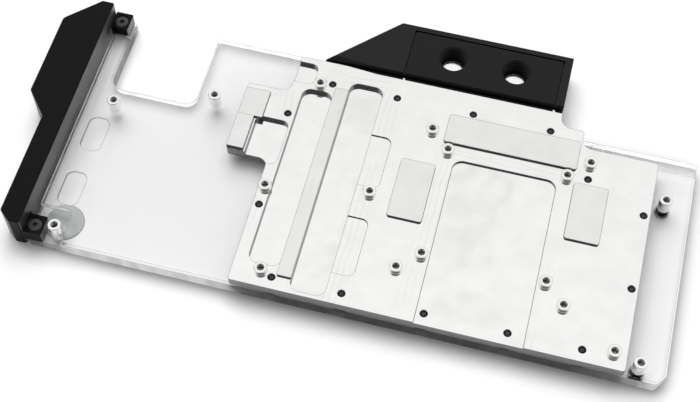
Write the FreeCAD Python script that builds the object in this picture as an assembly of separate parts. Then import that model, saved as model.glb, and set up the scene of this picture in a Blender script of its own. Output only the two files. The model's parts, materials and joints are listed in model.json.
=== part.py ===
import FreeCAD, Part
import math
import os
from FreeCAD import Vector

# Full-cover liquid cooling plate for a graphics card, lying on its clear outer face.
# X runs along the card, Y across it towards the two ports, Z up towards the circuit board.
# Every X and Y place is measured from the centre of the graphics processor, in millimetres.
# The finished pieces are moved together, so that the middle of the base is the origin.

# Levels
clear_thickness = 7.0
ledge_thickness = 4.5
plate_thickness = 4.5
board_gap = 2.2
terminal_rise = 3.0
cover_rise = 6.8

plate_bottom = clear_thickness
plate_top = plate_bottom + plate_thickness
board_plane = plate_top + board_gap
terminal_top = plate_top + terminal_rise
cover_top = plate_top + cover_rise

# Clearances between pieces that seat in each other
fit_gap = 0.1
seam_gap = 0.2
thread_gap = 0.05
screw_clearance = 0.12
seal_gap = 0.15

# How far a cut runs past the face that it opens, and what counts as the same point
past = 2.0
touching = 1e-5

# Outline of the metal plate
near_edge = -58.2
plate_left = -102.6
plate_right = 64.8
plate_right_far = 43.5
shoulder_right = 30.4
shoulder_far = 52.3
plate_far = 60.2
tab_left = -122.0
tab_near = 3.6
tab_far = 39.8
plate_outer_radius = 1.3
plate_inner_radius = 4.6

# Outline of the clear body, and the lowered strip on its far right edge
clear_left = -192.8
clear_right = 82.0
clear_right_far = 50.8
clear_left_far = 63.6
clear_corner_x = 3.6
clear_corner_y = 4.6
clear_radius = 1.2
clear_edge_break = 0.8
far_strip_depth = 1.0

# Notch for the power sockets of the card
notch_left = -184.2
notch_width = 40.2
notch_floor = 24.8
notch_radius = 5.5

# Milled recesses and raised pads of the metal face, as left, near, right and far sides
processor_recess = 0.9
processor_half_width = 23.0
processor_far = 23.2
processor_radius = 4.6
slot_depth = 2.0
slot_radius = 4.2
slot = (-97.1, -47.8, -83.1, 43.5)
trench = (-76.8, -56.4, -61.4, 51.8)
side_depth = 0.6
side_width = 9.6
side_spans = [(0.1, 26.6), (-44.4, -16.1)]
small_radius = 3.2
tab_pocket = (-113.5, 0.4, -98.3, 23.8)
corner_pocket_right = -93.4
corner_pocket_near = 46.0
corner_pocket_far = 57.2
pad_rise = 1.0
pad_radius = 1.2
bar_radius = 0.6
bar_near = -51.6
bar_far = 46.5
left_pad = (-45.4, -12.2, -30.0, 17.6)
right_pad = (30.2, -4.0, 45.4, 24.4)
top_pad = (-29.6, 30.8, 30.0, 45.6)
scallop_gap = 1.5
end_pad_right = -110.8
end_pad_far = 36.9
step_pad_right = -114.4
step_pad_near = 4.5
step_pad_far = 22.4
step_pad_rise = 1.3

# Cooling fins milled into the wet face of the plate
fin_count = 30
fin_pitch = 1.1
fin_gap = 0.55
fin_depth = 2.3
fin_length = 46.0

# Cap screws and their holes
tapped_radius = 1.5
tapped_mouth = 0.25
head_radius = 2.75
head_height = 1.9
head_sink = 0.2
head_gap = 0.45
socket_width = 2.0
socket_depth = 1.2
screw_end_gap = 0.3

# Screws that hold the metal plate
near_screw_y = -52.8
near_screw_x = [-84.9, -54.7, -19.6, 15.6, 46.4]
far_screw_y = 48.5
far_screw_x = [-84.9, -54.7, -19.6, 15.6]
side_screws = [(-100.4, 28.1), (-99.8, -20.3), (35.8, 27.8), (61.9, 15.8), (61.9, -20.4)]

# Threaded standoffs that meet the board
inner_pattern = 53.3
outer_pattern = 71.2
edge_standoffs = [(-99.7, -11.1), (-90.2, 46.8), (-90.2, -50.5), (-55.0, -2.9), (59.2, -50.8)]
end_standoff = (-177.7, 14.1)
pocket_standoff = (-180.7, -53.0)
notch_standoff = (-134.7, 28.3)
right_standoffs = [(70.2, 24.9), (70.2, -53.4)]
standoff_radius = 2.9
standoff_break = 0.35
bore_radius = 1.25
bore_mouth = 0.3
short_bore_depth = 3.6
tall_bore_depth = 4.6
shank_radius = 2.0
shank_length = 2.4
stud_length = 2.6
screwed_depth = 3.2

# Coolant space milled into the clear body
space_left = -86.0
space_near = -44.0
space_right = 55.4
space_far = 41.0
space_step_x = 27.0
space_step_far = 19.6
space_radius = 11.0
space_step_radius = 6.0
space_floor = 2.6
wall = 2.4
jet_width = 40.0
jet_length = 30.0
jet_thickness = 0.8
jet_slit_width = 2.4
jet_radius = 3.0
feed_width = 13.0
feed_radius = 3.0
seal_margin = 1.6
seal_width = 2.2
seal_depth = 1.5
seal_edge_break = 0.5

# Terminal block and its two ports
terminal_gap = 0.9
terminal_near = plate_far + terminal_gap
terminal_right = 19.1
terminal_far = 88.35
terminal_far_left = -61.3
terminal_slope = 2.9
twist_x = -66.9
twist_y = 1.5
ledge_inset = 1.2
ledge_diagonal_inset = 4.6
panel_left = -54.0
panel_right = 14.7
panel_far = 85.05
panel_thickness = 1.5
panel_line = 0.9
port_y = 74.25
port_left_x = -34.3
port_spacing = 29.2
port_radius = 5.72
port_mouth = 1.15
port_neck_radius = 4.8
port_neck_length = 1.8
well_radius = 6.9
well_stretch = 2.0
well_floor = 1.2
passage_count = 4
passage_pitch = 3.0
passage_radius = 1.1
trough_length = 5.0
trough_radius = 1.5
port_seal_margin = 1.1
port_seal_width = 2.0
port_seal_depth = 1.3
terminal_screw_x = [-51.7, 12.8]
terminal_screw_y = [66.85, 82.35]
terminal_screw_bite = 5.6

# Cover of the light strip on the left end
cover_left = -213.7
cover_inner = -193.7
cover_far = 62.9
cover_far_left = -199.4
cover_shoulder_y = 48.9
cover_waist_x = -203.7
cover_waist_far = 7.1
cover_waist_near = -4.6
cover_foot_x = -198.7
cover_foot_y = -54.0
cover_wall = 1.8
cover_radius = 1.0
cover_shoulder_radius = 3.0
cover_edge_break = 0.4
lug_length = 8.2
lug_width = 9.2
lug_height = 6.3
lug_radius = 0.8
lug_fillet = 1.6
lug_screw_inset = 4.0
lug_screw_length = 8.6
lug_rim_radius = 3.4
lug_rim_depth = 0.5
sunk_head_radius = 2.9
sunk_head_land = 0.3
cover_base_thickness = 1.5
window_middle = 2.5
window_length = 85.0
window_low = 1.9
window_high = 4.3
strip_length = 96.0
strip_height = 8.0
strip_thickness = 1.0
chip_count = 12
chip_pitch = 7.2
chip_size = 2.0
chip_depth = 0.8

# Pockets that the two lugs sit in, shallow recesses between them, and the blank disc in the outer face
near_pocket_right = -177.4
near_pocket_far = -41.2
near_pocket_radius = 3.3
lug_gap = 0.4
end_recess_left = -186.7
end_recess_width = 9.6
end_recess_spans = [(-10.4, 7.4), (-39.2, -22.2)]
end_recess_depth = 0.8
end_recess_radius = 3.7
disc_place = (-180.7, -45.6)
disc_radius = 8.5
disc_thickness = 0.6

# Places worked out from the sizes above
port_places = [(port_left_x, port_y), (port_left_x + port_spacing, port_y)]
terminal_corner_x = terminal_far_left - terminal_slope
terminal_left = terminal_corner_x - (terminal_far - terminal_near)
ledge_right = terminal_right - ledge_inset
ledge_far = terminal_far - ledge_inset
lug_near_sides = [near_edge + fit_gap, clear_left_far - lug_width]
lug_screws = [(cover_inner + lug_screw_inset, side + lug_width / 2) for side in lug_near_sides]
terminal_screws = [(x, y) for x in terminal_screw_x for y in terminal_screw_y]
plate_screws = [(x, near_screw_y) for x in near_screw_x] + [(x, far_screw_y) for x in far_screw_x]
plate_screws += side_screws
studded_places = [
    (notch_standoff, clear_thickness), (end_standoff, clear_thickness), (pocket_standoff, ledge_thickness)]
head_seat = head_sink + head_height
port_neck_top = ledge_thickness + port_neck_length
lug_top = ledge_thickness + lug_height
sunk_head_top = lug_top - lug_rim_depth
strip_x = cover_inner - cover_wall - fit_gap - chip_depth - strip_thickness
base_shift = Vector(-(cover_left + clear_right) / 2, -(near_edge + terminal_far) / 2, 0)


def square(size):
    """The four corners of a hole square round the graphics processor."""
    half = size / 2
    return [(-half, -half), (half, -half), (half, half), (-half, half)]


def outline(corners, z):
    """Closed wire through (x, y, radius) corners, with a tangent arc at each rounded one."""
    points = [Vector(x, y, z) for x, y, radius in corners]
    bends = []
    for i, (x, y, radius) in enumerate(corners):
        to_last = (points[i - 1] - points[i]).normalize()
        to_next = (points[(i + 1) % len(points)] - points[i]).normalize()
        half_angle = to_last.getAngle(to_next) / 2
        reach = radius / math.tan(half_angle)
        inward = (to_last + to_next).normalize()
        crown = points[i] + inward * (radius / math.sin(half_angle) - radius)
        bends.append((points[i] + to_last * reach, crown, points[i] + to_next * reach))
    edges = []
    for i, (start, crown, end) in enumerate(bends):
        following = bends[(i + 1) % len(bends)][0]
        if start.distanceToPoint(end) > touching:
            edges.append(Part.Arc(start, crown, end).toShape())
        if end.distanceToPoint(following) > touching:
            edges.append(Part.makeLine(end, following))
    return Part.Wire(edges)


def slab(corners, low, high):
    """Upright solid on an outline of (x, y, radius) corners."""
    return wire_slab(outline(corners, low), high - low)


def wire_slab(wire, height):
    """Upright solid on a closed wire."""
    return Part.Face(wire).extrude(Vector(0, 0, height))


def rectangle(sides, radius=0.0):
    """Corners of a rectangle given by its left, near, right and far sides."""
    left, near, right, far = sides
    return [(left, near, radius), (right, near, radius), (right, far, radius), (left, far, radius)]


def block(sides, low, high, radius=0.0):
    """Upright solid on a rectangle."""
    return slab(rectangle(sides, radius), low, high)


def cylinder(place, low, high, radius):
    """Upright round solid."""
    return Part.makeCylinder(radius, high - low, Vector(place[0], place[1], low))


def turned(place, profile):
    """Solid turned round an upright line at place, from (radius, height) points."""
    points = [Vector(place[0] + radius, place[1], z) for radius, z in profile]
    face = Part.Face(Part.makePolygon(points + points[:1]))
    return face.revolve(Vector(place[0], place[1], 0), Vector(0, 0, 1), 360)


def hexagon(place, low, high, width):
    """Upright six-sided solid, width across its flats."""
    radius = width / math.sqrt(3)
    turns = [math.radians(60 * i) for i in range(6)]
    points = [Vector(place[0] + radius * math.cos(a), place[1] + radius * math.sin(a), low) for a in turns]
    return wire_slab(Part.makePolygon(points + points[:1]), high - low)


def beyond(a, b, c, reach):
    """Block of space on the side of the plane a, b, c that its normal points to."""
    along = (b - a).normalize()
    normal = along.cross(c - a).normalize()
    across = normal.cross(along)
    start = a - (along + across) * reach
    steps = [along, across, along * -1, across * -1]
    points = [start]
    for step in steps:
        points.append(points[-1] + step * (2 * reach))
    return Part.Face(Part.makePolygon(points)).extrude(normal * reach)


def joined(shapes):
    """One shape from several, used as one tool for a cut."""
    return shapes[0].multiFuse(shapes[1:])


def edges_at(shape, z):
    """Level edges of a solid at height z."""
    return [edge for edge in shape.Edges if abs(edge.BoundBox.ZMin - z) < touching]


def cap_screw(place, tip):
    """Cap screw that stands on its head in a counterbore, with its thread up to tip."""
    thread = tapped_radius - thread_gap
    screw = turned(place, [
        (0, head_sink), (head_radius, head_sink), (head_radius, head_seat), (thread, head_seat),
        (thread, tip), (0, tip)])
    return screw.cut(hexagon(place, head_sink - past, head_sink + socket_depth, socket_width))


def cap_screw_hole(place, high):
    """Counterbore in the outer face, with a clearance hole up to high."""
    bore = tapped_radius + screw_clearance
    sink = head_radius + head_gap
    return turned(place, [
        (0, -past), (sink, -past), (sink, head_seat), (bore, head_seat), (bore, high), (0, high)])


def standoff_top(foot, depth):
    """Upper part of a standoff's profile, from its side over its mouth to the end of its bore."""
    rim = standoff_radius - standoff_break
    return [(standoff_radius, foot), (standoff_radius, board_plane - standoff_break), (rim, board_plane),
            (bore_radius + bore_mouth, board_plane), (bore_radius, board_plane - bore_mouth),
            (bore_radius, board_plane - depth)]


def pressed_standoff(place):
    """Short standoff pressed into the metal plate."""
    shank_end = plate_top - shank_length
    profile = [(0, shank_end), (shank_radius, shank_end), (shank_radius, plate_top)]
    profile += standoff_top(plate_top, short_bore_depth) + [(0, board_plane - short_bore_depth)]
    return turned(place, profile)


def studded_standoff(place, seat):
    """Tall standoff with a stud in the clear body."""
    stud = tapped_radius - thread_gap
    profile = [(0, seat - stud_length), (stud, seat - stud_length), (stud, seat)]
    profile += [(standoff_radius - standoff_break, seat)]
    profile += standoff_top(seat + standoff_break, tall_bore_depth) + [(0, board_plane - tall_bore_depth)]
    return turned(place, profile)


def screwed_standoff(place, seat):
    """Tall standoff held by a screw from the outer face."""
    profile = [(tapped_radius, seat), (standoff_radius - standoff_break, seat)]
    profile += standoff_top(seat + standoff_break, board_plane - seat - screwed_depth)
    profile += [(tapped_radius, seat + screwed_depth)]
    return turned(place, profile)


def space_wire(z, grow):
    """Edge of the coolant space, moved outwards by grow."""
    corners = [
        (space_left, space_near, space_radius), (space_right, space_near, space_radius),
        (space_right, space_step_far, space_step_radius), (space_step_x, space_step_far, space_step_radius),
        (space_step_x, space_far, space_step_radius), (space_left, space_far, space_radius)]
    wire = outline(corners, z)
    return wire.makeOffset2D(grow) if grow else wire


def well_corners(place, grow):
    """Outline of the well under a port, moved outwards by grow."""
    x, y = place
    radius = well_radius + grow
    sides = (x - radius, y - well_stretch - radius, x + radius, y + radius)
    return rectangle(sides, radius)


def feed_sides(grow):
    """Sides of the two legs of the feed channel, from the inlet to the jet plate."""
    half = feed_width / 2 + grow
    near = -half
    first = (port_left_x - half, near, port_left_x + half, space_far + feed_radius + past)
    second = (port_left_x - half, near, -jet_width / 2 + wall + past, half)
    return first, second


def flow_space():
    """The coolant space of the clear body, with the walls that guide the flow left standing."""
    space = wire_slab(space_wire(space_floor, 0), plate_bottom + past - space_floor)
    ring = (-jet_width / 2, -jet_length / 2, jet_width / 2, jet_length / 2)
    inner_ring = (ring[0] + wall, ring[1] + wall, ring[2] - wall, ring[3] - wall)
    jet_seat = plate_bottom - jet_thickness
    walls = joined([block(sides, space_floor, plate_bottom, feed_radius) for sides in feed_sides(wall)]
                   + [block(ring, space_floor, plate_bottom, jet_radius)])
    channel = joined([block(sides, space_floor, plate_bottom, feed_radius) for sides in feed_sides(0)]
                     + [block(inner_ring, space_floor, plate_bottom, jet_radius)])
    seat = block(ring, jet_seat, plate_bottom, jet_radius)
    space = space.cut(walls.cut(channel).cut(seat))
    half = (passage_count - 1) / 2 * passage_pitch + passage_radius
    for x, y in port_places:
        trough = (x - half, space_far - trough_length, x + half, space_far - fit_gap)
        space = space.fuse(block(trough, well_floor, plate_bottom, trough_radius))
    return space


def port_passages():
    """Wells under the ports and the drilled passages from them to the coolant space."""
    cuts = []
    height = well_floor + fit_gap + passage_radius
    for x, y in port_places:
        cuts.append(slab(well_corners((x, y), 0), well_floor, ledge_thickness + past))
        for i in range(passage_count):
            offset = (i - (passage_count - 1) / 2) * passage_pitch
            start = Vector(x + offset, space_far - trough_length / 2, height)
            length = y - start.y
            cuts.append(Part.makeCylinder(passage_radius, length, start, Vector(0, 1, 0)))
    return cuts


def make_clear_body():
    """Clear body: outline, ledge, pockets, coolant space, seal groove and every hole."""
    ledge_corner = terminal_corner_x - terminal_far + ledge_diagonal_inset + ledge_far
    ledge_bend = ledge_corner - (ledge_far - clear_left_far)
    notch_right = notch_left + notch_width
    corners = [
        (clear_left, near_edge, clear_radius), (clear_right - clear_corner_x, near_edge, clear_radius),
        (clear_right, near_edge + clear_corner_y, clear_radius), (clear_right, clear_right_far, clear_radius),
        (ledge_right, clear_right_far, clear_radius), (ledge_right, ledge_far, clear_radius),
        (ledge_corner, ledge_far, clear_radius), (ledge_bend, clear_left_far, clear_radius),
        (notch_right, clear_left_far, clear_radius), (notch_right, notch_floor, notch_radius),
        (notch_left, notch_floor, notch_radius), (notch_left, clear_left_far, clear_radius),
        (clear_left, clear_left_far, clear_radius)]
    body = slab(corners, 0, clear_thickness)
    right_rim = [edge for edge in edges_at(body, clear_thickness) if edge.BoundBox.Center.x > plate_right]
    body = body.makeChamfer(clear_edge_break, right_rim)

    above = clear_thickness + past
    ledge_near = terminal_near - fit_gap
    slant = terminal_left - fit_gap - seam_gap
    reach = terminal_far + past - ledge_near
    terminal_ledge = [
        (slant, ledge_near, 0), (terminal_right + past, ledge_near, 0),
        (terminal_right + past, ledge_near + reach, 0), (slant + reach, ledge_near + reach, 0)]
    near_pocket = [
        (clear_left - past, near_edge - past, 0), (near_pocket_right, near_edge - past, 0),
        (near_pocket_right, near_pocket_far, near_pocket_radius), (clear_left - past, near_pocket_far, 0)]
    far_pocket = (clear_left - past, lug_near_sides[1] - lug_gap, notch_left + past, clear_left_far + past)
    strip_left = shoulder_right + plate_inner_radius
    far_strip = (strip_left, plate_right_far, clear_right + past, clear_right_far + past)
    cuts = [slab(terminal_ledge, ledge_thickness, above), slab(near_pocket, ledge_thickness, above),
            block(far_pocket, ledge_thickness, above),
            block(far_strip, clear_thickness - far_strip_depth, above), flow_space()]

    groove_floor = plate_bottom - seal_depth
    outer = wire_slab(space_wire(groove_floor, seal_margin + seal_width), seal_depth + past)
    cuts.append(outer.cut(wire_slab(space_wire(groove_floor, seal_margin), seal_depth + past)))
    cuts += port_passages()
    cuts += [cap_screw_hole(place, above) for place in plate_screws + right_standoffs]
    cuts += [cap_screw_hole(place, ledge_thickness + past) for place in terminal_screws]

    for place, seat in studded_places:
        cuts.append(cylinder(place, seat - stud_length - screw_end_gap, seat + past, tapped_radius))
    screw_end = sunk_head_top - lug_screw_length
    for place in lug_screws:
        cuts.append(cylinder(place, screw_end - screw_end_gap, ledge_thickness + past, tapped_radius))
    for near, far in end_recess_spans:
        sides = (end_recess_left, near, end_recess_left + end_recess_width, far)
        cuts.append(block(sides, clear_thickness - end_recess_depth, above, end_recess_radius))
    cuts.append(cylinder(disc_place, -past, disc_thickness, disc_radius + fit_gap))
    return body.cut(cuts)


def face_at(place):
    """Height of the metal face at a place: lower in the processor recess."""
    in_recess = abs(place[0]) < processor_half_width and place[1] < processor_far
    return plate_top - processor_recess if in_recess else plate_top


def make_cold_plate():
    """Metal plate: outline, pads, milled recesses, tapped holes and the fins underneath."""
    edge = plate_outer_radius
    inner = plate_inner_radius
    far_right = terminal_right + seam_gap
    corners = [
        (plate_left, near_edge, edge), (plate_right, near_edge, edge), (plate_right, plate_right_far, edge),
        (shoulder_right, plate_right_far, inner), (shoulder_right, shoulder_far, edge),
        (far_right, shoulder_far, inner), (far_right, plate_far, edge), (plate_left, plate_far, edge),
        (plate_left, tab_far, inner), (tab_left, tab_far, edge), (tab_left, tab_near, edge),
        (plate_left, tab_near, inner)]
    plate = slab(corners, plate_bottom, plate_top)

    pad_top = plate_top + pad_rise
    bar = (slot[2], bar_near, trench[0], bar_far)
    end_pad = (tab_left, step_pad_far, end_pad_right, end_pad_far)
    step_pad = (tab_left, step_pad_near, step_pad_right, step_pad_far)
    pattern_places = square(inner_pattern) + square(outer_pattern)
    scallop_radius = standoff_radius + scallop_gap
    scallops = [cylinder(place, plate_top, pad_top, scallop_radius) for place in pattern_places]
    pads = [block(left_pad, plate_top, pad_top, pad_radius), block(right_pad, plate_top, pad_top, pad_radius),
            block(top_pad, plate_top, pad_top, pad_radius).cut(scallops),
            block(bar, plate_top, pad_top, bar_radius), block(end_pad, plate_top, pad_top),
            block(step_pad, plate_top, plate_top + step_pad_rise)]

    above = pad_top + past
    slot_floor = plate_top - slot_depth
    recess = [(-processor_half_width, near_edge - past, 0), (processor_half_width, near_edge - past, 0),
              (processor_half_width, processor_far, processor_radius),
              (-processor_half_width, processor_far, processor_radius)]
    corner_pocket = [
        (plate_left - past, corner_pocket_near, 0), (corner_pocket_right, corner_pocket_near, small_radius),
        (corner_pocket_right, corner_pocket_far, small_radius), (plate_left - past, corner_pocket_far, 0)]
    cuts = [slab(recess, plate_top - processor_recess, plate_top + past),
            block(slot, slot_floor, plate_top + past, slot_radius),
            block(trench, slot_floor, plate_top + past, slot_radius),
            block(tab_pocket, slot_floor, plate_top + past, small_radius),
            slab(corner_pocket, slot_floor, plate_top + past)]
    for near, far in side_spans:
        start = trench[2] - side_width
        end = trench[2] + side_width
        cuts.append(block((start, near, end, far), plate_top - side_depth, plate_top + past, small_radius))
    mouth = tapped_radius + tapped_mouth
    for place in plate_screws:
        face = face_at(place)
        cuts.append(turned(place, [
            (0, plate_bottom - past), (tapped_radius, plate_bottom - past), (tapped_radius, face - tapped_mouth),
            (mouth, face), (mouth, above), (0, above)]))
    for place in pattern_places + edge_standoffs:
        cuts.append(cylinder(place, plate_top - shank_length, above, shank_radius))
    for i in range(fin_count):
        left = (i - fin_count / 2) * fin_pitch
        sides = (left, -fin_length / 2, left + fin_gap, fin_length / 2)
        cuts.append(block(sides, plate_bottom - past, plate_bottom + fin_depth))
    return plate.cut(cuts).multiFuse(pads).removeSplitter()


def make_main_seal():
    """Squeezed seal between the clear body and the metal plate, with its edges broken."""
    floor = plate_bottom - seal_depth
    outer = wire_slab(space_wire(floor, seal_margin + seal_width - seal_gap), seal_depth)
    ring = outer.cut(wire_slab(space_wire(floor, seal_margin + seal_gap), seal_depth))
    level_edges = [edge for edge in ring.Edges if edge.BoundBox.ZLength < touching]
    return ring.makeChamfer(seal_edge_break, level_edges)


def port_ring(place, inside, outside):
    """Ring round the well of a port, as deep as its groove in the terminal block."""
    high = ledge_thickness + port_seal_depth
    ring = slab(well_corners(place, outside), ledge_thickness, high)
    return ring.cut(slab(well_corners(place, inside), ledge_thickness, high))


def make_port_seal(place):
    """Seal between the terminal block and the clear body, round one port."""
    return port_ring(place, port_seal_margin + seal_gap, port_seal_margin + port_seal_width - seal_gap)


def make_jet_plate():
    """Thin plate with a slit across the fins, which spreads the coolant over them."""
    half_width = jet_width / 2 - fit_gap
    half_length = jet_length / 2 - fit_gap
    low = plate_bottom - jet_thickness
    plate = block((-half_width, -half_length, half_width, half_length), low, plate_bottom, jet_radius)
    half_slit = fin_count * fin_pitch / 2
    slit = (-half_slit, -jet_slit_width / 2, half_slit, jet_slit_width / 2)
    return plate.cut(block(slit, low - past, plate_bottom + past, jet_slit_width / 2))


def make_terminal_block():
    """Block with a sloping left end, a recess for its panel and two threaded ports over narrower necks."""
    corners = [(terminal_left, terminal_near, 0), (terminal_right, terminal_near, 0),
               (terminal_right, terminal_far, 0), (terminal_corner_x, terminal_far, 0)]
    body = slab(corners, ledge_thickness, terminal_top)
    reach = terminal_right - terminal_left
    slope_foot = Vector(terminal_left, terminal_near, plate_top)
    slope_top = Vector(terminal_far_left, terminal_far, terminal_top)
    slope_end = Vector(terminal_corner_x, terminal_far, plate_top)
    twist_start = Vector(twist_x, terminal_near, terminal_top)
    twist_end = Vector(terminal_left + terminal_slope + twist_y, terminal_near + twist_y, terminal_top)
    panel_low = terminal_top - panel_thickness
    panel = (panel_left - panel_line, terminal_near - past, panel_right + panel_line, panel_far + panel_line)
    cuts = [beyond(slope_foot, slope_top, slope_end, reach),
            beyond(twist_start, twist_end, slope_foot, reach), block(panel, panel_low, terminal_top + past)]
    for place in port_places:
        cuts.append(cylinder(place, port_neck_top, terminal_top, port_radius))
        cuts.append(cylinder(place, ledge_thickness - past, terminal_top, port_neck_radius))
        cuts.append(port_ring(place, port_seal_margin, port_seal_margin + port_seal_width))
    for place in terminal_screws:
        top = ledge_thickness + terminal_screw_bite + screw_end_gap
        cuts.append(cylinder(place, ledge_thickness - past, top, tapped_radius))
    return body.cut(cuts)


def make_terminal_panel():
    """Panel let into the top of the terminal block, with the wide mouths of the ports."""
    low = terminal_top - panel_thickness
    panel = block((panel_left, terminal_near, panel_right, panel_far), low, terminal_top)
    for place in port_places:
        mouth = turned(place, [
            (0, low - past), (port_radius, low - past), (port_radius, terminal_top - port_mouth),
            (port_radius + port_mouth, terminal_top), (0, terminal_top + past)])
        panel = panel.cut(mouth)
    return panel


def cover_corners(radius, shoulder_radius):
    """Outline of the light cover."""
    return [
        (cover_inner, near_edge, radius), (cover_inner, cover_far, radius),
        (cover_far_left, cover_far, radius), (cover_left, cover_shoulder_y, shoulder_radius),
        (cover_left, cover_waist_far, radius),
        (cover_waist_x, cover_waist_near, radius), (cover_waist_x, cover_foot_y, radius),
        (cover_foot_x, near_edge, radius)]


def cover_cavity(inset, low, high):
    """Inside of the light cover, moved inwards by inset from its outer face."""
    return wire_slab(outline(cover_corners(0, 0), low).makeOffset2D(-inset, 2), high - low)


def make_light_cover():
    """Hollow cover, open below, with a light window and two lugs for the pockets of the clear body."""
    body = slab(cover_corners(cover_radius, cover_shoulder_radius), 0, cover_top)
    body = body.makeChamfer(cover_edge_break, edges_at(body, cover_top))
    body = body.cut(cover_cavity(cover_wall, -past, cover_top - cover_wall))
    half = window_length / 2
    window = (cover_inner - cover_wall - past, window_middle - half, cover_inner + past, window_middle + half)
    body = body.cut(block(window, window_low, window_high))
    end = cover_inner + lug_length
    root = cover_inner - cover_wall / 2
    near_low, far_low = lug_near_sides
    near_high = near_low + lug_width
    far_high = far_low + lug_width
    wall_far = min(far_high, cover_far - cover_radius - cover_edge_break)
    near_lug = [(root, near_low, 0), (end, near_low, lug_radius), (end, near_high, lug_radius),
                (cover_inner, near_high, lug_fillet), (cover_inner, near_high + lug_fillet + past, 0),
                (root, near_high + lug_fillet + past, 0)]
    far_lug = [(root, wall_far, 0), (cover_inner, wall_far, 0), (cover_inner + fit_gap, far_high, 0),
               (end, far_high, lug_radius), (end, far_low, lug_radius), (cover_inner, far_low, lug_fillet),
               (cover_inner, far_low - lug_fillet - past, 0), (root, far_low - lug_fillet - past, 0)]
    body = body.multiFuse([slab(lug, ledge_thickness, lug_top) for lug in (near_lug, far_lug)])
    bore = tapped_radius + screw_clearance
    neck = sunk_head_top - sunk_head_land - (sunk_head_radius - tapped_radius)
    sink = sunk_head_radius + fit_gap
    for place in lug_screws:
        body = body.cut(turned(place, [
            (0, ledge_thickness - past), (bore, ledge_thickness - past), (bore, neck),
            (sink, neck + sink - bore), (sink, sunk_head_top), (lug_rim_radius, sunk_head_top),
            (lug_rim_radius, lug_top + past), (0, lug_top + past)]))
    return body.removeSplitter()


def make_cover_screws():
    """Countersunk screws of the two lugs."""
    thread = tapped_radius - thread_gap
    tip = sunk_head_top - lug_screw_length
    cone_top = sunk_head_top - sunk_head_land
    neck = cone_top - (sunk_head_radius - thread)
    screws = []
    for place in lug_screws:
        screw = turned(place, [
            (0, tip), (thread, tip), (thread, neck), (sunk_head_radius, cone_top),
            (sunk_head_radius, sunk_head_top), (0, sunk_head_top)])
        socket = hexagon(place, sunk_head_top - socket_depth, sunk_head_top + past, socket_width)
        screws.append(screw.cut(socket))
    return Part.makeCompound(screws)


def make_light_strip():
    """Circuit board of the lights, standing on the cover's base behind the window."""
    half = strip_length / 2
    sides = (strip_x, window_middle - half, strip_x + strip_thickness, window_middle + half)
    return block(sides, cover_base_thickness, cover_base_thickness + strip_height)


def make_light_chips():
    """Row of lights on the board, facing the clear body through the window."""
    face = strip_x + strip_thickness
    low = (window_low + window_high - chip_size) / 2
    chips = []
    for i in range(chip_count):
        middle = window_middle + (i - (chip_count - 1) / 2) * chip_pitch
        sides = (face, middle - chip_size / 2, face + chip_depth, middle + chip_size / 2)
        chips.append(block(sides, low, low + chip_size))
    return Part.makeCompound(chips)


def make_pieces():
    """Every piece under its node's name."""
    terminal_tip = ledge_thickness + terminal_screw_bite
    standoff_tip = clear_thickness + screwed_depth - screw_end_gap
    pieces = {
        "clear_body": make_clear_body(),
        "cold_plate": make_cold_plate(),
        "jet_plate": make_jet_plate(),
        "main_o_ring": make_main_seal(),
        "inlet_o_ring": make_port_seal(port_places[0]),
        "outlet_o_ring": make_port_seal(port_places[1]),
        "terminal_block": make_terminal_block(),
        "terminal_panel": make_terminal_panel(),
        "light_cover": make_light_cover(),
        "light_cover_base": cover_cavity(cover_wall + fit_gap, 0, cover_base_thickness),
        "light_strip": make_light_strip(),
        "light_chips": make_light_chips(),
        "light_cover_screws": make_cover_screws(),
        "badge_disc": cylinder(disc_place, 0, disc_thickness, disc_radius),
        "plate_screws": Part.makeCompound(
            [cap_screw(place, face_at(place) - screw_end_gap) for place in plate_screws]),
        "terminal_screws": Part.makeCompound([cap_screw(place, terminal_tip) for place in terminal_screws]),
        "standoff_screws": Part.makeCompound([cap_screw(place, standoff_tip) for place in right_standoffs]),
    }
    pressed = {"inner_standoff": square(inner_pattern), "outer_standoff": square(outer_pattern),
               "edge_standoff": edge_standoffs}
    for name, places in pressed.items():
        for i, place in enumerate(places, 1):
            pieces[f"{name}_{i}"] = pressed_standoff(place)
    studded = ["notch_standoff", "ledge_standoff_1", "ledge_standoff_2"]
    for name, (place, seat) in zip(studded, studded_places):
        pieces[name] = studded_standoff(place, seat)
    for i, place in enumerate(right_standoffs, 1):
        pieces[f"right_standoff_{i}"] = screwed_standoff(place, clear_thickness)
    return pieces


os.makedirs("parts", exist_ok=True)
for name, shape in make_pieces().items():
    shape.translate(base_shift)
    shape.exportStep(f"parts/{name}.step")
    print(name, "solids", len(shape.Solids), "valid", shape.isValid(), "volume", round(shape.Volume, 1))
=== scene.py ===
"""Looks of a liquid cooling cold plate for a graphics card.

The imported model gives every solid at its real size. This script gives each of them its finish. It puts finer
pieces in place of the standoffs, the cap screws and the terminal, whose threads and sockets are too fine for
the solids. It also sets up the floor, the light and the camera.
Lengths in the classes are millimetres, and the scene itself is in metres.
"""
import json
import logging
import math
from dataclasses import dataclass
from enum import Enum

import bmesh
import bpy
from mathutils import Matrix, Vector


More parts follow.
